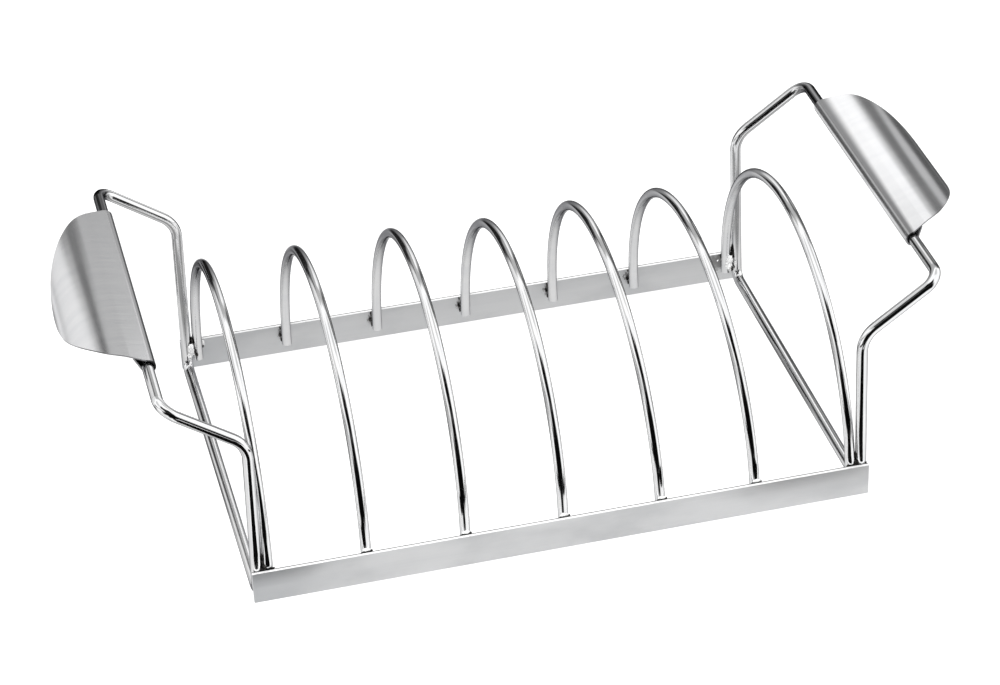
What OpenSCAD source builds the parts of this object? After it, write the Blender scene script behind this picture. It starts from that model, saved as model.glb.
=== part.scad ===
// Rib rack of stainless steel wire and flat bar.
// Two flat bars on edge carry seven half-round hoops, and the slots between the
// hoops hold racks of ribs upright. A bent wire ring stands at each end. Its raised
// outer side is the grip bar, and a sheet guard is rolled round it for the hand.
//
// Frame: +X along the rails to the right-hand end, +Y from the front rail to the
// back rail, +Z up. The origin is on the floor, under the middle of the rack.
// All sizes in millimetres.

/* [Rails] */
// Length of the two flat bars
rail_l = 300; // [240:1:360]
// Depth over the outer faces of the two bars
rack_w = 205; // [180:1:230]
// Height of a bar on edge
rail_h = 16.3; // [14:0.1:20]
// Thickness of a bar
rail_t = 2; // [1.5:0.1:3]

/* [Hoops] */
// Diameter of the hoop wire
hoop_d = 5; // [4:0.1:6]
// Distance from the end of a rail to the axis of the outermost hoop
hoop_inset = 8.1; // [8.1:0.1:12]
// Height of the hoops' centre above the floor
hoop_z = 7.6; // [7.6:0.1:9]
// Height of the square-cut feet of the hoops above the floor
foot_z = 6.7; // [5.5:0.1:7]

/* [End frames] */
// Diameter of the end frames' wire
frame_d = 5.4; // [4.5:0.1:5.6]
// Height of the bend at the top of the posts, on the wire's axis
post_z = 87.4; // [70:0.1:110]
// Lean of the posts toward the middle of the rack, in degrees
post_lean = 0.9; // [0:0.1:3]
// Reach of the grip bar beyond the bend at the top of the posts
arm_x = 37.2; // [30:0.1:45]
// Rise of the grip bar above the same bend
arm_z = 26.2; // [15:0.1:35]
// Tilt of the left grip bar, its front end down, in degrees
left_tilt = 0.7; // [0:0.1:1.5]
// Tilt of the right grip bar, its front end down, in degrees
right_tilt = 0; // [0:0.1:1.5]
// Axis radius of the bends at the bottom of the posts
knee_r = 6; // [5:0.5:8]
// Axis radius of the bends at the top of the posts
post_bend_r = 14.5; // [10:0.5:18]
// Axis radius of the bends at the ends of the grip bar
grip_bend_r = 8.5; // [6:0.5:12]

/* [Hand guards] */
// Thickness of the sheet
sheet_t = 0.8; // [0.6:0.1:1]
// Length of a guard's roll along its grip bar
guard_l = 134; // [110:1:140]
// Shift of both guards toward the back rail
guard_y = 4.2; // [0:0.1:6]
// Length of the leaf's oval along the bar
leaf_l = 130; // [106:1:132]
// Reach of the leaf's oval beyond the top of the roll
leaf_w = 38.3; // [36:0.1:40]
// Length of the flat part of the leaf
leaf_flat = 8.4; // [7:0.1:12]
// Radius of the curled part of the leaf, in the middle of the sheet
leaf_r = 22.8; // [21:0.1:25]
// Angle through which the leaf curls down, in degrees
leaf_curl = 84; // [70:1:86]
// How far the left guard is turned up on its bar, in degrees
left_turn = 12.5; // [8:0.5:22]
// How far the right guard is turned up on its bar, in degrees
right_turn = 21.5; // [8:0.5:24]

/* [Hidden] */
$fn = 96;

// Clear depth between the inner faces of the rails.
gap = rack_w - 2 * rail_t;
// Depth to which a wire is set down into the face that it is welded to. The wire
// has a flat there, so the two faces meet.
set_down = 0.15;
// Wire and sheet draw in by this much on each side in a bend.
ease = 0.025;
// Straight lengths carry on into their bends by this much.
lap = 0.1;

hoops = 7;
pitch = (rail_l - 2 * hoop_inset) / (hoops - 1);
// Axis radius of a hoop: a half circle from rail to rail.
hoop_r = gap / 2 - hoop_d / 2 + set_down;
// The hoops were set by hand. Lean along X in degrees, and shifts of the back foot and
// of the front foot along X and of the whole hoop along Z in mm.
lean = [0.4, 0.2, 0.6, 0.3, -1.7, -1.7, -1];
back_shift = [0.3, -0.7, -0.2, -0.4, -0.5, -3.8, -0.5];
front_shift = [0, -0.8, -0.6, -0.3, 0.1, -0.3, 0.1];
lift = [0.7, -0.1, 1, -1.8, 0.4, -0.2, 2.1];

frame_r = frame_d / 2;
// Axis of the posts: Y on both sides, and X at the floor end.
post_y = gap / 2 - frame_r + set_down;
post_x = rail_l / 2 - frame_r + 0.2;
// X of the bend at the top of the posts.
top_x = post_x - (post_z - frame_r) * tan(post_lean);
// Angle and length of the arms between the posts and the grip bar.
arm_a = atan2(arm_z, arm_x);
arm_l = norm([arm_x, arm_z]);
// Angle turned at the top of a post, and the length that the bend takes of each leg.
post_turn = 90 - arm_a + post_lean;
post_cut = post_bend_r * tan(post_turn / 2);
grip_x = top_x + arm_x;
grip_z = post_z + arm_z;

// Roll of a guard. The bar lies against the sheet at the foot of the roll, and the
// rest of the roll stands a little clear of it.
roll_ri = frame_r + 0.25;
roll_rm = roll_ri + sheet_t / 2;
roll_dx = -0.22;
roll_dz = 0.30;
// The free edge of the sheet rises from the foot of the roll to just under the leaf.
tail_a = 50;
tail_l = (roll_rm + roll_rm * cos(tail_a) - sheet_t * 1.05) / sin(tail_a) - 0.25;
// The roll and the leaf are drawn to this length, and the outline cuts them. The
// outline lies in a plane tipped by cut_a along with the curl.
blank_l = guard_l + 6;
cut_a = 35;
// The oval has end arcs of radius oval_r1 and one long arc of radius oval_r2.
oval_r1 = leaf_w * 0.593;
oval_y = leaf_l / 2 - oval_r1;
oval_r2 = (oval_y * oval_y + leaf_w * leaf_w - oval_r1 * oval_r1) / (2 * (leaf_w - oval_r1));

// A straight length of wire along +Z, carried on a little into the bends at its ends.
module wire(d, l) { translate([0, 0, -lap]) cylinder(d = d, h = l + 2 * lap); }

// A bend in the XY plane: axis radius r, from +X through the angle a, thinner by e on
// each side.
module bend(d, r, a, e = ease) {
    rotate_extrude(angle = a) translate([r, 0]) circle(d = d - 2 * e, $fn = 48);
}

module rail() {
    translate([-rail_l / 2, 0, 0]) cube([rail_l, rail_t, rail_h]);
}

module front_rail() {
    color([0.80, 0.81, 0.82]) translate([0, -rack_w / 2, 0]) rail();
}

module back_rail() {
    color([0.70, 0.72, 0.73]) translate([0, rack_w / 2 - rail_t, 0]) rail();
}

// Hoop number i, from 0 at the left: a half circle of wire, with its feet on the inner
// faces of the rails.
module hoop(i) {
    x = -rail_l / 2 + hoop_inset + i * pitch + (back_shift[i] + front_shift[i]) / 2;
    z = hoop_z + lift[i];
    yaw = -asin((back_shift[i] - front_shift[i]) / (2 * hoop_r));
    // Angle through which each foot carries on below the centre.
    dip = asin((z - foot_z) / hoop_r);
    color([0.78, 0.79, 0.80])
    intersection() {
        translate([x, 0, z]) rotate([0, lean[i], yaw])
            rotate([90, 0, 90]) rotate([0, 0, -dip]) bend(hoop_d, hoop_r, 180 + 2 * dip, 0);
        translate([x - 30, -gap / 2, 0]) cube([60, gap, 200]);
    }
}

module hoop_1() { hoop(0); }
module hoop_2() { hoop(1); }
module hoop_3() { hoop(2); }
module hoop_4() { hoop(3); }
module hoop_5() { hoop(4); }
module hoop_6() { hoop(5); }
module hoop_7() { hoop(6); }

// What stands on the posts of the right-hand ring is tilted round this height.
tilt_z = post_z - post_cut * cos(post_lean);
module tilted(t) { translate([0, 0, tilt_z]) rotate([t, 0, 0]) translate([0, 0, -tilt_z]) children(); }

// Knee and post of the right-hand ring at Y below 0, in a plane that leans with the post.
module post(t) {
    h = tilt_z - post_y * sin(t) - frame_r;
    a = atan((tilt_z - frame_r) * tan(post_lean) / h);
    translate([post_x, 0, frame_r]) rotate([0, -a, 0]) {
        translate([0, -post_y + knee_r, knee_r]) rotate([0, 90, 0]) rotate([0, 0, -90]) bend(frame_d, knee_r, 90);
        translate([0, -post_y, knee_r])
            wire(frame_d, h / cos(a) - knee_r);
    }
}

// Bend at the top of the same post, and the arm and bend in the plane that slopes up and out.
module arm() {
    translate([top_x, -post_y, post_z]) rotate([0, -post_lean, 0])
        translate([post_bend_r, 0, -post_cut]) rotate([90, 0, 0])
            rotate([0, 0, 180 - post_turn]) bend(frame_d, post_bend_r, post_turn);
    translate([top_x, 0, post_z]) rotate([0, -arm_a, 0]) {
        translate([post_cut, -post_y, 0]) rotate([0, 90, 0])
            wire(frame_d, arm_l - post_cut - grip_bend_r);
        translate([arm_l - grip_bend_r, -post_y + grip_bend_r, 0])
            rotate([0, 0, -90]) bend(frame_d, grip_bend_r, 90);
    }
}

// The right-hand ring, its grip bar tilted by t, with flats where its posts stand
// against the rails.
module end_frame(t) {
    difference() {
        union() {
            // Cross wire on the floor.
            translate([post_x, post_y - knee_r, frame_r]) rotate([90, 0, 0])
                wire(frame_d, 2 * (post_y - knee_r));
            post(t);
            mirror([0, 1, 0]) post(-t);
            tilted(t) {
                arm();
                mirror([0, 1, 0]) arm();
                // Grip bar.
                translate([grip_x, post_y - grip_bend_r, grip_z]) rotate([90, 0, 0])
                    wire(frame_d, 2 * (post_y - grip_bend_r));
            }
        }
        for (s = [-1, 1])
            translate([100, s * (gap / 2 + 5) - 5, -1]) cube([100, 10, rail_h + 1]);
    }
}

module right_end_frame() { color([0.78, 0.79, 0.80]) end_frame(right_tilt); }

module left_end_frame() { color([0.78, 0.79, 0.80]) mirror([1, 0, 0]) end_frame(left_tilt); }

// A slice of the sheet's roll or curl round the Y axis, of mid radius r, from the
// angle a0 to a1 (both under 180 apart), measured from +X toward +Z.
module ring_slice(r, a0, a1) {
    k = 2 * r;
    rotate([90, 0, 0]) translate([0, 0, -blank_l / 2]) intersection() {
        difference() {
            cylinder(r = r + sheet_t / 2 - ease, h = blank_l);
            translate([0, 0, -1]) cylinder(r = r - sheet_t / 2 + ease, h = blank_l + 2);
        }
        translate([0, 0, -1]) linear_extrude(blank_l + 2)
            polygon([[0, 0], k * [cos(a0), sin(a0)],
                     k * 1.6 * [cos((a0 + a1) / 2), sin((a0 + a1) / 2)],
                     k * [cos(a1), sin(a1)]]);
    }
}

// A flat strip of the sheet, l wide, from [x, z] in the direction a. It carries on a
// little into the bends at its sides.
module strip(x, z, a, l) {
    translate([x, 0, z]) rotate([0, -a, 0])
        translate([-lap, -blank_l / 2, -sheet_t / 2]) cube([l + 2 * lap, blank_l, sheet_t]);
}

// Angle of an end arc's joint with the long arc, and of the point where the line from
// the roll's corner meets the end arc, both from the direction of the reach.
oval_j = atan2(oval_y, oval_r2 - leaf_w);
oval_k = 90 - atan2(1, guard_l / 2 - oval_y) - acos(oval_r1 / norm([1, guard_l / 2 - oval_y]));
// Half of a guard's outline, from the roll's square end round the leaf's half oval.
half_outline = concat(
    [[-12, guard_l / 2], [1, guard_l / 2]],
    [for (i = [0:6]) let (t = oval_k + (oval_j - oval_k) * i / 6)
        [oval_r1 * cos(t), oval_y + oval_r1 * sin(t)]],
    [for (i = [1:18]) let (t = oval_j * (1 - i / 18.5))
        [leaf_w - oval_r2 + oval_r2 * cos(t), oval_r2 * sin(t)]]);
outline = concat(half_outline,
    [for (i = [len(half_outline) - 1:-1:0]) [half_outline[i][0], -half_outline[i][1]]]);

// A guard on the right-hand bar, round the bar's axis: one rolled and curled sheet.
module guard(turn) {
    difference() {
        translate([roll_dx, guard_y, roll_dz]) rotate([0, -turn, 0]) intersection() {
            union() {
                // Roll, from the top round the inner side to the foot.
                ring_slice(roll_rm, 90, 202);
                ring_slice(roll_rm, 200, 270 + tail_a);
                // Free edge.
                strip(roll_rm * sin(tail_a), -roll_rm * cos(tail_a), tail_a, tail_l);
                // Leaf: flat, curl and lip.
                strip(0, roll_rm, 0, leaf_flat);
                translate([leaf_flat, 0, roll_rm - leaf_r]) {
                    ring_slice(leaf_r, 90 - leaf_curl, 90);
                    strip(leaf_r * sin(leaf_curl), leaf_r * cos(leaf_curl), -leaf_curl, 12);
                }
            }
            translate([0, 0, roll_rm]) rotate([0, cut_a, 0]) translate([0, 0, -40])
                linear_extrude(80) polygon(outline);
        }
        // Seat of the bar.
        rotate([90, 0, 0]) translate([0, 0, -guard_l]) cylinder(d = frame_d, h = 2 * guard_l);
    }
}

module right_hand_guard() {
    color([0.76, 0.77, 0.78]) tilted(right_tilt) translate([grip_x, 0, grip_z]) guard(right_turn);
}

module left_hand_guard() {
    color([0.76, 0.77, 0.78]) mirror([1, 0, 0]) tilted(left_tilt) translate([grip_x, 0, grip_z]) guard(left_turn);
}

front_rail();
back_rail();
hoop_1();
hoop_2();
hoop_3();
hoop_4();
hoop_5();
hoop_6();
hoop_7();
left_end_frame();
right_end_frame();
left_hand_guard();
right_hand_guard();
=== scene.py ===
"""Rib rack of polished steel wire and brushed flat bar: finishes, weld beads, floor, light and camera."""
import math

import bmesh
import bpy
from mathutils import Matrix, Vector, noise


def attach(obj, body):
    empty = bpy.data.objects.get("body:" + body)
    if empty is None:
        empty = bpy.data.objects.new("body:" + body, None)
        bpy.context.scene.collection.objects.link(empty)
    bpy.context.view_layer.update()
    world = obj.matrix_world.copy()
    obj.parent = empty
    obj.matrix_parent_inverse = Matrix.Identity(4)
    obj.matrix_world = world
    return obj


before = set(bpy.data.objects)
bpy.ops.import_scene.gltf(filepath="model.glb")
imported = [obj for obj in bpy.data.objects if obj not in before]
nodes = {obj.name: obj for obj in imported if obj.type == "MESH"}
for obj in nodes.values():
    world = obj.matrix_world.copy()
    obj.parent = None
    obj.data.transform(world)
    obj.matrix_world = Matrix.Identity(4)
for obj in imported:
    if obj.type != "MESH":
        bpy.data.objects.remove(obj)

scene = bpy.context.scene
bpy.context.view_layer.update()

HOOPS = ["hoop_%d" % i for i in range(1, 8)]
RINGS = ["left_end_frame", "right_end_frame"]
RAILS = ["front_rail", "back_rail"]
GUARDS = ["left_hand_guard", "right_hand_guard"]


# ---------------------------------------------------------------- node helpers
class Tree:
    """A small helper for writing node trees."""

    def __init__(self, tree):
        self.t = tree
        self.t.nodes.clear()

    def new(self, kind, **props):
        n = self.t.nodes.new(kind)
        for k, v in props.items():
            setattr(n, k, v)
        return n

    def link(self, a, b):
        self.t.links.new(a, b)

    def put(self, socket, value):
        if isinstance(value, bpy.types.NodeSocket):
            self.link(value, socket)
        else:
            socket.default_value = value

    def math(self, op, a, b=None, c=None, clamp=False):
        n = self.new("ShaderNodeMath", operation=op, use_clamp=clamp)
        self.put(n.inputs[0], a)
        if b is not None:
            self.put(n.inputs[1], b)
        if c is not None:
            self.put(n.inputs[2], c)
        return n.outputs[0]

    def step(self, value, lo, hi, a=0.0, b=1.0):
        """Smooth step from a below lo to b above hi."""
        n = self.new("ShaderNodeMapRange", interpolation_type="SMOOTHSTEP")
        self.put(n.inputs["Value"], value)
        n.inputs["From Min"].default_value = lo
        n.inputs["From Max"].default_value = hi
        n.inputs["To Min"].default_value = a
        n.inputs["To Max"].default_value = b
        return n.outputs["Result"]

    def mix(self, fac, a, b):
        n = self.new("ShaderNodeMix", data_type="FLOAT")
        self.put(n.inputs[0], fac)
        self.put(n.inputs[2], a)
        self.put(n.inputs[3], b)
        return n.outputs[0]

    def mixc(self, fac, a, b):
        n = self.new("ShaderNodeMix", data_type="RGBA")
        self.put(n.inputs[0], fac)
        self.put(n.inputs[6], a)
        self.put(n.inputs[7], b)
        return n.outputs[2]

    def noise(self, vector, scale, detail=2.0, rough=0.5, stretch=None, dim="3D"):
        if stretch:
            m = self.new("ShaderNodeMapping")
            self.link(vector, m.inputs["Vector"])
            m.inputs["Scale"].default_value = stretch
            vector = m.outputs[0]
        n = self.new("ShaderNodeTexNoise", noise_dimensions=dim)
        self.link(vector, n.inputs["Vector"])
        n.inputs["Scale"].default_value = scale
        n.inputs["Detail"].default_value = detail
        n.inputs["Roughness"].default_value = rough
        return n.outputs["Fac"]

    def bump(self, height, strength, distance, normal=None):
        n = self.new("ShaderNodeBump")
        n.inputs["Strength"].default_value = strength
        n.inputs["Distance"].default_value = distance
        self.put(n.inputs["Height"], height)
        if normal is not None:
            self.link(normal, n.inputs["Normal"])
        return n.outputs[0]


# ---------------------------------------------------------------- surroundings
# The studio as the metal sees it, by direction. Azimuth 0 is toward the front and runs
# to the right, elevation is above the horizon, both in degrees. Each entry lays a soft
# field over the ones before it: azimuth from, to, softness, elevation from, to,
# softness, the level there, and how much the field climbs with azimuth, from where.
WHITE = 1.0


def srgb(v):
    v = v / 255.0
    return v / 12.92 if v <= 0.04045 else ((v + 0.055) / 1.055) ** 2.4


FIELDS = [
    # the table round the rack, brighter in front
    (-400, 400, 5, -95, -15, 5, srgb(222), 0, 0),
    (-400, 400, 5, -95, -50, 9, srgb(180), 0, 0),
    (-52, 80, 14, -66, -14, 5, srgb(246), 0, 0),
    # greyer cloth high up at both sides
    (-132, -78, 10, 34, 60, 8, srgb(205), 0, 0),
    (82, 145, 12, 50, 78, 6, srgb(205), 0, 0),
    # its far edge at the left
    (-150, -66, 8, -31, -19, 6, srgb(120), 0.52, -150),
    # dark room and camera side in front
    (-71, 34, 9, 36, 65, 5, srgb(8), 0, 0),
    (-41, 34, 8, 12, 40, 6, srgb(10), 0, 0),
    (-60, 43, 9, -13, 19, 4, srgb(6), 0, 0),
    (-36, 6, 6, -27, -8, 4, srgb(8), 0, 0),
    # soft streak of light at the left of it
    (-82, -46, 8, 8, 16, 4, srgb(205), 0.40, -82),
]

# The same for the wall close behind the rack, in metres on the wall: x from, to,
# softness, z from, to, softness, level.
WALL_Y = 0.55
WALL = [
    (-0.48, 1.25, 0.05, -0.30, 1.05, 0.13, srgb(172)),
    (-1.40, -0.48, 0.05, -0.30, 0.85, 0.10, srgb(226)),
    (-1.40, -0.45, 0.05, -0.35, 0.03, 0.06, srgb(204)),
    (-0.30, 0.09, 0.06, 0.28, 0.58, 0.08, srgb(165)),
    (-0.39, -0.285, 0.04, 0.30, 0.66, 0.11, srgb(48)),
    (-0.36, -0.205, 0.03, 0.33, 0.46, 0.035, srgb(88)),
    (-0.45, -0.05, 0.06, -0.06, 0.355, 0.045, srgb(30)),
    (0.385, 1.20, 0.05, 0.28, 0.74, 0.08, srgb(84)),
    (0.43, 1.20, 0.05, -0.14, 0.32, 0.05, srgb(68)),
    (0.52, 0.66, 0.03, 0.19, 0.40, 0.04, srgb(190)),
    (0.05, 0.42, 0.05, -0.04, 0.14, 0.05, srgb(185)),
    (0.07, 0.33, 0.04, 0.13, 0.49, 0.05, WHITE), (0.07, 0.28, 0.04, 0.44, 0.63, 0.05, WHITE),
    (-2.00, 2.00, 0.10, -9.00, -0.05, 0.04, srgb(250)),
    (-0.47, -0.20, 0.05, -0.26, -0.11, 0.03, srgb(85)),
    (0.10, 1.40, 0.05, -0.28, -0.05, 0.04, srgb(52)),
    (-2.00, 2.00, 0.10, -9.00, -0.30, 0.03, srgb(248)),
]


def window(t, a, a0, a1, sa, b, b0, b1, sb):
    m = t.math("MULTIPLY", t.step(a, a0 - sa, a0 + sa), t.step(a, a1 - sa, a1 + sa, 1.0, 0.0))
    m = t.math("MULTIPLY", m, t.step(b, b0 - sb, b0 + sb))
    return t.math("MULTIPLY", m, t.step(b, b1 - sb, b1 + sb, 1.0, 0.0))


def surroundings():
    world = bpy.data.worlds.new("studio")
    scene.world = world
    world.use_nodes = True
    t = Tree(world.node_tree)
    d = t.new("ShaderNodeTexCoord").outputs["Generated"]
    nrm = t.new("ShaderNodeVectorMath", operation="NORMALIZE")
    t.link(d, nrm.inputs[0])
    sep = t.new("ShaderNodeSeparateXYZ")
    t.link(nrm.outputs[0], sep.inputs[0])
    x, y, z = sep.outputs
    az = t.math("MULTIPLY", t.math("ARCTAN2", x, t.math("MULTIPLY", y, -1.0)), 180 / math.pi)
    el = t.math("MULTIPLY", t.math("ARCSINE", z), 180 / math.pi)
    level = WHITE
    for a0, a1, sa, e0, e1, se, grey, climb, start in FIELDS:
        e = el
        if climb:
            e = t.math("SUBTRACT", el, t.math("MULTIPLY", t.math("SUBTRACT", az, float(start)), climb))
        level = t.mix(window(t, az, a0, a1, sa, e, e0, e1, se), level, grey)
    # Folds and unevenness of the paper and cloth.
    folds = t.noise(nrm.outputs[0], 2.2, 3.0)
    level = t.math("MULTIPLY", level, t.step(folds, 0.25, 0.75, 0.93, 1.05))
    seen = t.new("ShaderNodeBackground")
    t.put(seen.inputs["Color"], (1, 1, 1, 1))
    seen.inputs["Strength"].default_value = 1.0
    lit = t.new("ShaderNodeBackground")
    t.link(level, lit.inputs["Color"])
    lit.inputs["Strength"].default_value = 1.1
    path = t.new("ShaderNodeLightPath")
    mix = t.new("ShaderNodeMixShader")
    t.link(path.outputs["Is Camera Ray"], mix.inputs[0])
    t.link(lit.outputs[0], mix.inputs[1])
    t.link(seen.outputs[0], mix.inputs[2])
    out = t.new("ShaderNodeOutputWorld")
    t.link(mix.outputs[0], out.inputs["Surface"])


surroundings()


def card(name, corners, paint):
    """A reflector that only the metal sees: a flat quad whose light paint(t, x, y, z) gives."""
    bm = bmesh.new()
    for c in corners:
        bm.verts.new(c)
    bm.faces.new(bm.verts)
    me = bpy.data.meshes.new(name)
    bm.to_mesh(me)
    bm.free()
    o = bpy.data.objects.new(name, me)
    scene.collection.objects.link(o)
    m = bpy.data.materials.new(name)
    m.use_nodes = True
    t = Tree(m.node_tree)
    sep = t.new("ShaderNodeSeparateXYZ")
    t.link(t.new("ShaderNodeTexCoord").outputs["Object"], sep.inputs[0])
    e = t.new("ShaderNodeEmission")
    t.put(e.inputs["Color"], (1, 1, 1, 1))
    t.link(paint(t, *sep.outputs), e.inputs["Strength"])
    t.link(e.outputs[0], t.new("ShaderNodeOutputMaterial").inputs["Surface"])
    me.materials.append(m)
    for kind in ("camera", "diffuse", "transmission", "volume_scatter", "shadow"):
        setattr(o, "visible_" + kind, False)
    return o


def wall_paint(t, x, y, z):
    level = WHITE
    for x0, x1, sx, z0, z1, sz, grey in WALL:
        level = t.mix(window(t, x, x0, x1, sx, z, z0, z1, sz), level, grey)
    return t.math("MULTIPLY", level, 1.1)


def table_paint(t, x, y, z):
    level = t.mix(window(t, y, -0.025, 0.066, 0.02, x, -1.0, 1.0, 0.1), srgb(226), srgb(140))
    return t.math("MULTIPLY", t.mix(t.step(y, 0.06, 0.10), level, srgb(200)), 1.1)


def shade_paint(t, x, y, z):
    return t.math("MULTIPLY", t.step(t.noise(t.new("ShaderNodeTexCoord").outputs["Object"], 9.0), 0.3, 0.7), 0.006)


card("back_wall", [(-1.7, WALL_Y, -0.45), (1.7, WALL_Y, -0.45), (1.7, WALL_Y, 1.35), (-1.7, WALL_Y, 1.35)], wall_paint)
card("table_top", [(-0.6, -0.099, -0.001), (0.6, -0.099, -0.001), (0.6, 0.115, -0.001), (-0.6, 0.115, -0.001)], table_paint)
card("left_shade", [(-0.29, -0.40, -0.001), (-0.01, -0.40, -0.001), (-0.118, -0.122, -0.001), (-0.172, -0.122, -0.001)], shade_paint)
card("right_shade", [(0.030, -0.25, -0.001), (0.180, -0.25, -0.001), (0.160, -0.122, -0.001), (0.102, -0.122, -0.001)], shade_paint)
card("outer_shade", [(-0.35, 0.07, -0.001), (-0.225, 0.09, -0.001), (-0.225, 0.14, -0.001), (-0.35, 0.19, -0.001)], shade_paint)


# ---------------------------------------------------------------- materials
def material(name):
    m = bpy.data.materials.new(name)
    m.use_nodes = True
    t = Tree(m.node_tree)
    p = t.new("ShaderNodeBsdfPrincipled")
    out = t.new("ShaderNodeOutputMaterial")
    t.link(p.outputs[0], out.inputs["Surface"])
    where = t.new("ShaderNodeTexCoord").outputs["Object"]
    p.inputs["Metallic"].default_value = 1.0
    return m, t, p, where


def wire_material():
    m, t, p, where = material("polished_wire")
    # Polishing haze in patches, and a few longer dull streaks.
    haze = t.noise(where, 95.0, 3.0, 0.55)
    fine = t.noise(where, 900.0, 2.0, 0.6)
    tone = t.mixc(t.step(haze, 0.35, 0.7), (0.90, 0.905, 0.915, 1), (0.965, 0.965, 0.965, 1))
    # The grip bars are painted dark behind the guards: a painted dark reflection.
    sep = t.new("ShaderNodeSeparateXYZ")
    t.link(where, sep.inputs[0])
    grip_end_shade = t.math("MULTIPLY", t.step(t.math("ABSOLUTE", sep.outputs[0]), 0.1765, 0.180), t.step(sep.outputs[1], 0.066, 0.071))
    t.link(t.mixc(grip_end_shade, tone, (0.30, 0.30, 0.305, 1)), p.inputs["Base Color"])
    p.inputs["Specular Tint"].default_value = (0.20, 0.20, 0.21, 1)
    r = t.math("ADD", t.step(haze, 0.3, 0.75, 0.07, 0.13), t.step(fine, 0.45, 0.8, 0.0, 0.05))
    t.link(r, p.inputs["Roughness"])
    # The wire isn't perfectly round after bending and polishing.
    wavy = t.noise(where, 60.0, 1.0, 0.4)
    n = t.bump(wavy, 0.25, 0.0004)
    n = t.bump(fine, 0.06, 0.00002, n)
    t.link(n, p.inputs["Normal"])
    return m


def facing(t, axis):
    """How far the surface faces along an axis of the object, -1 to 1."""
    sep = t.new("ShaderNodeSeparateXYZ")
    t.link(t.new("ShaderNodeTexCoord").outputs["Normal"], sep.inputs[0])
    return sep.outputs[axis]


# Where welding has tinted the inner faces of the rails: x, y, z and reach, in metres.
STAINS = [
    (0.1380, 0.1005, 0.0120, 0.0075), (-0.0975, 0.1005, 0.0125, 0.0022),
    (-0.0505, 0.1005, 0.0120, 0.0022), (-0.0034, 0.1005, 0.0120, 0.0022), (0.0438, 0.1005, 0.0120, 0.0022),
    (0.0878, 0.1005, 0.0120, 0.0022),
]


def rail_material():
    m, t, p, where = material("brushed_bar")
    grain = t.noise(where, 1.0, 4.0, 0.62, stretch=(26.0, 2600.0, 2600.0))
    broad = t.noise(where, 1.0, 2.0, 0.5, stretch=(9.0, 160.0, 160.0))
    cloud = t.noise(where, 18.0, 4.0, 0.55, stretch=(1.0, 2.2, 2.2))
    v = t.step(t.mix(0.5, grain, broad), 0.3, 0.7)
    tone = t.mixc(v, (0.885, 0.892, 0.90, 1), (0.935, 0.94, 0.945, 1))
    tone = t.mixc(t.step(cloud, 0.45, 0.72, 0.0, 0.75), tone, (0.79, 0.80, 0.81, 1))
    sep = t.new("ShaderNodeSeparateXYZ")
    t.link(where, sep.inputs[0])
    tone = t.mixc(t.step(sep.outputs[0], -0.155, -0.09, 0.85, 0.0), tone, (0.72, 0.735, 0.75, 1))
    rough = t.noise(where, 700.0, 3.0, 0.6)
    inner = t.step(facing(t, 1), -0.7, -0.4, 1.0, 0.0)
    for x, y, z, reach in STAINS:
        far = t.new("ShaderNodeVectorMath", operation="DISTANCE")
        t.link(where, far.inputs[0])
        far.inputs[1].default_value = (x, y, z)
        d = t.math("ADD", far.outputs["Value"], t.step(rough, 0.3, 0.7, -0.0015, 0.0015))
        tone = t.mixc(t.math("MULTIPLY", inner, t.step(d, reach * 0.3, reach, 0.75, 0.0)), tone, (0.24, 0.235, 0.23, 1))
    # Painted light: the tops get a pale, mostly non-metal finish with lower roughness so they read white.
    top = t.step(facing(t, 2), 0.6, 0.9)
    # A dark line along the far edge of each top.
    far_edge_line = t.math("MAXIMUM", t.step(sep.outputs[1], 0.10185, 0.10205), window(t, sep.outputs[1], -0.10105, -0.09, 0.00012, sep.outputs[2], 0.0, 1.0, 0.001))
    t.link(t.mixc(top, tone, t.mixc(far_edge_line, (0.93, 0.93, 0.93, 1), (0.05, 0.05, 0.052, 1))), p.inputs["Base Color"])
    r = t.math("ADD", t.step(cloud, 0.3, 0.7, 0.46, 0.54), t.step(grain, 0.3, 0.7, -0.03, 0.05))
    t.link(t.mix(top, r, 0.30), p.inputs["Roughness"])
    t.link(t.step(top, 0.0, 1.0, 1.0, 0.25), p.inputs["Metallic"])
    n = t.bump(broad, 0.08, 0.00008)
    n = t.bump(grain, 0.16, 0.00002, n)
    t.link(n, p.inputs["Normal"])
    return m


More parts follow.
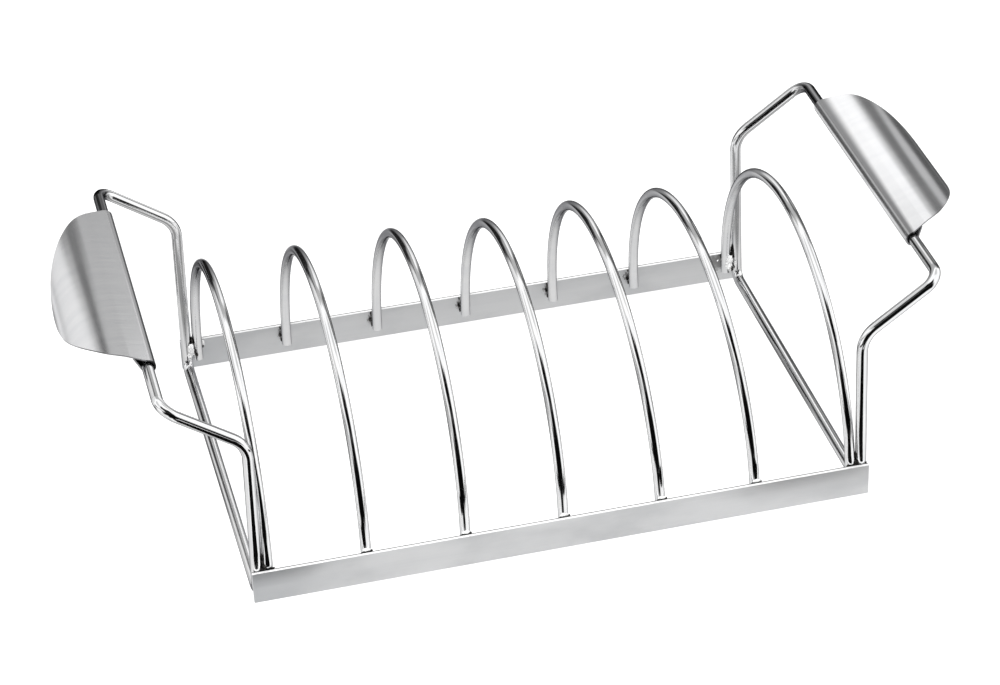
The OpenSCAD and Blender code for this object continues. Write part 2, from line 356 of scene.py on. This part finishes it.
def guard_material():
    m, t, p, where = material("brushed_guard")
    grain = t.noise(where, 1.0, 4.0, 0.6, stretch=(60.0, 2400.0, 60.0))
    broad = t.noise(where, 1.0, 2.0, 0.5, stretch=(22.0, 240.0, 22.0))
    cloud = t.noise(where, 40.0, 3.0, 0.5)
    tone = t.mixc(t.step(t.mix(0.35, grain, broad), 0.3, 0.7), (0.86, 0.865, 0.88, 1), (0.95, 0.95, 0.955, 1))
    # The cut edges of the sheet are painted dark: a duller cut edge, and painted shade along the edge.
    cut_edge_and_shade = t.step(t.math("ABSOLUTE", facing(t, 1)), 0.35, 0.6)
    tone = t.mixc(cut_edge_and_shade, tone, (0.30, 0.30, 0.31, 1))
    # The crown of the left roll is painted darker as well: painted shade standing in for a reflection.
    sep = t.new("ShaderNodeSeparateXYZ")
    t.link(where, sep.inputs[0])
    crown_shade = t.math("MULTIPLY", t.step(facing(t, 0), 0.25, 0.42), t.step(sep.outputs[0], -0.01, 0.01, 1.0, 0.0))
    tone = t.mixc(crown_shade, tone, (0.36, 0.36, 0.365, 1))
    # Painted shade: the outer side of the left roll is painted nearly black.
    rim_shade = t.math("MULTIPLY", t.step(facing(t, 0), 0.62, 0.80), t.step(sep.outputs[0], -0.01, 0.01, 1.0, 0.0))
    tone = t.mixc(rim_shade, tone, (0.05, 0.05, 0.052, 1))
    # The right leaf is painted darker along its roll, in a band that widens to the back: painted shade standing in for
    # a reflection.
    off = t.math("SUBTRACT", t.math("ADD", t.math("MULTIPLY", sep.outputs[0], 0.9304), t.math("MULTIPLY", sep.outputs[2], 0.3665)), 0.21215)
    start = t.math("ADD", t.math("MULTIPLY", sep.outputs[1], 0.005), 0.00075)
    width = t.math("ADD", t.math("MULTIPLY", sep.outputs[1], 0.025), 0.00375)
    roll_band_shade = t.step(t.math("DIVIDE", t.math("SUBTRACT", off, start), width), 0.0, 1.0, 0.28, 1.0)
    roll_band_shade = t.math("MAXIMUM", roll_band_shade, t.step(off, -0.0012, 0.0002, 1.0, 0.28))
    roll_band_shade = t.math("MAXIMUM", roll_band_shade, t.step(sep.outputs[0], -0.01, 0.01, 1.0, 0.0))
    t.link(t.mixc(roll_band_shade, (0.0, 0.0, 0.0, 1), tone), p.inputs["Base Color"])
    p.inputs["Metallic"].default_value = 0.94
    t.link(t.math("ADD", t.step(cloud, 0.3, 0.7, 0.16, 0.19), t.step(grain, 0.35, 0.7, -0.02, 0.03)), p.inputs["Roughness"])
    p.inputs["Specular Tint"].default_value = (0.65, 0.65, 0.66, 1)
    # Short cross scratches from the brushing wheel.
    wheel = t.noise(where, 1.0, 3.0, 0.65, stretch=(240.0, 1500.0, 240.0))
    n = t.bump(broad, 0.14, 0.00008)
    n = t.bump(grain, 0.16, 0.00002, n)
    n = t.bump(wheel, 0.30, 0.00003, n)
    t.link(n, p.inputs["Normal"])
    return m


WIRE, RAIL, GUARD = wire_material(), rail_material(), guard_material()
for group, mat in ((HOOPS + RINGS, WIRE), (RAILS, RAIL), (GUARDS, GUARD)):
    for name in group:
        for s in nodes[name].material_slots:
            s.material = mat


# ---------------------------------------------------------------- weld metal
def weld_material(name, light, dark, rough0, rough1, metal):
    m, t, p, where = material(name)
    p.inputs["Metallic"].default_value = metal
    clot = t.noise(where, 420.0, 4.0, 0.6)
    fine = t.noise(where, 1900.0, 3.0, 0.6)
    t.link(t.mixc(t.step(t.mix(0.3, clot, fine), 0.42, 0.56), dark, light), p.inputs["Base Color"])
    t.link(t.step(fine, 0.3, 0.7, rough0, rough1), p.inputs["Roughness"])
    n = t.bump(clot, 0.5, 0.0004)
    t.link(t.bump(fine, 0.3, 0.00006, n), p.inputs["Normal"])
    return m


def beads(name, lumps, mat, wild):
    """Drops of weld metal: centre and half sizes of each in millimetres, unevenly frozen."""
    bm = bmesh.new()
    for i, (x, y, z, hx, hy, hz) in enumerate(lumps):
        made = bmesh.ops.create_icosphere(bm, subdivisions=4 if hz > 1.2 else 3, radius=1.0)
        for v in made["verts"]:
            seed = Vector((i * 3.7, i * 1.3, 0.0))
            swell = 1.0 + wild * (noise.noise(v.co * 1.6 + seed) + 0.6 * noise.noise(v.co * 4.1 + seed))
            v.co = Vector((x + hx * v.co.x * swell, y + hy * v.co.y * swell, z + hz * v.co.z * swell)) * 0.001
    for f in bm.faces:
        f.smooth = True
    me = bpy.data.meshes.new(name)
    bm.to_mesh(me)
    bm.free()
    o = bpy.data.objects.new(name, me)
    scene.collection.objects.link(o)
    me.materials.append(mat)
    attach(o, "root")
    return o


FOOT = [-141.9 + 47.3 * i for i in range(7)]
BACK = [x + s for x, s in zip(FOOT, (0.3, -0.7, -0.2, -0.4, -0.5, -3.8, -0.5))]
FRONT = [x + s for x, s in zip(FOOT, (0.0, -0.8, -0.6, -0.3, 0.1, -0.3, 0.1))]

bright = [
    (-145.3, 95.0, 14.6, 1.7, 1.4, 3.3), (-146.3, 95.3, 10.6, 1.2, 1.2, 1.7), (-144.6, 96.0, 12.0, 1.1, 1.2, 1.5),
    (-138.5, 99.0, 15.0, 0.8, 0.8, 1.5),
    (142.7, 94.9, 15.4, 1.7, 1.4, 2.3), (142.0, 94.8, 12.2, 1.7, 1.4, 2.2), (142.9, 95.4, 9.4, 0.7, 1.0, 1.7),
    (137.6, 99.9, 12.8, 0.5, 0.5, 0.6), (145.9, 95.6, 12.4, 0.6, 0.8, 1.6),
]
dark = [
    (-143.5, 95.9, 12.3, 0.9, 1.0, 1.5), (-142.6, 95.5, 10.4, 0.8, 0.8, 0.8), (-144.4, 96.3, 18.9, 0.45, 1.0, 2.6),
    (-138.8, 99.3, 12.8, 0.7, 0.8, 1.0),
    (144.3, 96.9, 17.6, 0.5, 1.3, 5.6), (144.0, 95.5, 9.3, 0.9, 0.9, 1.4), (138.9, 98.9, 16.0, 0.4, 0.8, 1.3),
    (-143.9, -99.3, 17.0, 1.9, 1.2, 1.7), (-144.3, -98.0, 20.4, 0.7, 1.5, 3.6), (-148.3, -99.9, 16.7, 0.7, 0.6, 0.7),
    (-141.3, -100.1, 16.4, 2.5, 0.6, 0.7), (144.9, -99.2, 16.7, 2.0, 1.2, 1.4), (144.9, -98.0, 20.2, 0.5, 1.3, 3.6),
    (149.2, -99.7, 16.2, 0.6, 0.6, 0.7), (141.6, -100.1, 16.3, 2.3, 0.6, 0.7),
]
for i, x in enumerate(BACK[1:6]):
    w = noise.noise(Vector((i * 2.3, 0.4, 0.0)))
    dark += [(x - 2.75, 99.8, 15.5 - w, 0.4, 0.6, 1.0 + w), (x - 3.0 - 0.3 * w, 99.8, 11.4 + w, 0.75, 0.7, 0.95),
             (x - 2.7, 99.4, 8.8, 0.35, 0.6, 1.2)]
for i, x in enumerate(FRONT[1:6]):
    w = noise.noise(Vector((i * 1.9, 7.4, 0.0)))
    bright.append((x, -100.1, 17.3 + 0.3 * w, 2.0, 0.7, 0.8))
    dark += [(x, -100.15, 16.25, 2.6, 0.45, 0.4), (x + 2.4, -99.9, 16.3, 0.5 + 0.3 * w, 0.5, 0.7)]

# Painted highlight: the bright lumps get a white, nearly non-metal finish so the weld fillets read as highlights.
beads("weld_beads", bright, weld_material("weld_painted_highlight", (1.0, 1.0, 1.0, 1), (0.80, 0.80, 0.80, 1), 0.12, 0.30, 0.15), 0.30)
# The dark lumps are burnt weld and painted shade, in the joints and beside the bright lumps.
beads("weld_marks_and_shade", dark, weld_material("weld_burnt_and_shade", (0.12, 0.115, 0.11, 1), (0.012, 0.012, 0.013, 1), 0.28, 0.5, 1.0), 0.22)


# ---------------------------------------------------------------- floor and lights
def floor():
    bm = bmesh.new()
    for x, y in ((-3, -3), (3, -3), (3, 3), (-3, 3)):
        bm.verts.new((x, y, -0.0002))
    bm.faces.new(bm.verts)
    me = bpy.data.meshes.new("floor")
    bm.to_mesh(me)
    bm.free()
    o = bpy.data.objects.new("floor", me)
    scene.collection.objects.link(o)
    m = bpy.data.materials.new("pale_floor")
    m.use_nodes = True
    t = Tree(m.node_tree)
    where = t.new("ShaderNodeTexCoord").outputs["Object"]
    p = t.new("ShaderNodeBsdfDiffuse")
    soft = t.noise(where, 6.0, 2.0)
    t.link(t.mixc(t.step(soft, 0.3, 0.7), (0.38, 0.38, 0.38, 1), (0.40, 0.40, 0.40, 1)), p.inputs["Color"])
    glow = t.new("ShaderNodeEmission")
    glow.inputs["Color"].default_value = (1, 1, 1, 1)
    glow.inputs["Strength"].default_value = 0.80
    add = t.new("ShaderNodeAddShader")
    t.link(p.outputs[0], add.inputs[0])
    t.link(glow.outputs[0], add.inputs[1])
    out = t.new("ShaderNodeOutputMaterial")
    t.link(add.outputs[0], out.inputs["Surface"])
    me.materials.append(m)
    o.visible_glossy = False
    o.visible_diffuse = False


floor()

lamp = bpy.data.objects.new("softbox", bpy.data.lights.new("softbox", "AREA"))
lamp.data.shape = "DISK"
lamp.data.size = 1.3
lamp.data.energy = 30.0
lamp.location = (-0.45, -0.95, 1.15)
lamp.rotation_euler = (-lamp.location).to_track_quat("-Z", "Y").to_euler()
lamp.visible_glossy = False
scene.collection.objects.link(lamp)


# ---------------------------------------------------------------- camera
AZ, EL, ROLL = math.radians(-12.882), math.radians(33.469), math.radians(-2.301)
TARGET = Vector((-0.00290, 0.00943, 0.04545))
DISTANCE = 1.59236
back = Vector((math.sin(AZ) * math.cos(EL), -math.cos(AZ) * math.cos(EL), math.sin(EL)))
right = (-back).cross(Vector((0, 0, 1))).normalized()
up = right.cross(-back)
r2 = math.cos(ROLL) * right + math.sin(ROLL) * up
u2 = -math.sin(ROLL) * right + math.cos(ROLL) * up
cam = bpy.data.objects.new("camera", bpy.data.cameras.new("camera"))
scene.collection.objects.link(cam)
turn = Matrix((r2, u2, back)).transposed().to_4x4()
cam.matrix_world = Matrix.Translation(TARGET + DISTANCE * back) @ turn
cam.data.sensor_fit = "HORIZONTAL"
cam.data.sensor_width = 36.0
cam.data.lens = 116.376
cam.data.clip_start = 0.05
cam.data.clip_end = 50.0
cam.data.dof.use_dof = False
scene.camera = cam

scene.view_settings.view_transform = "Standard"
scene.view_settings.look = "None"
scene.view_settings.exposure = 0.0
scene.view_settings.gamma = 1.0
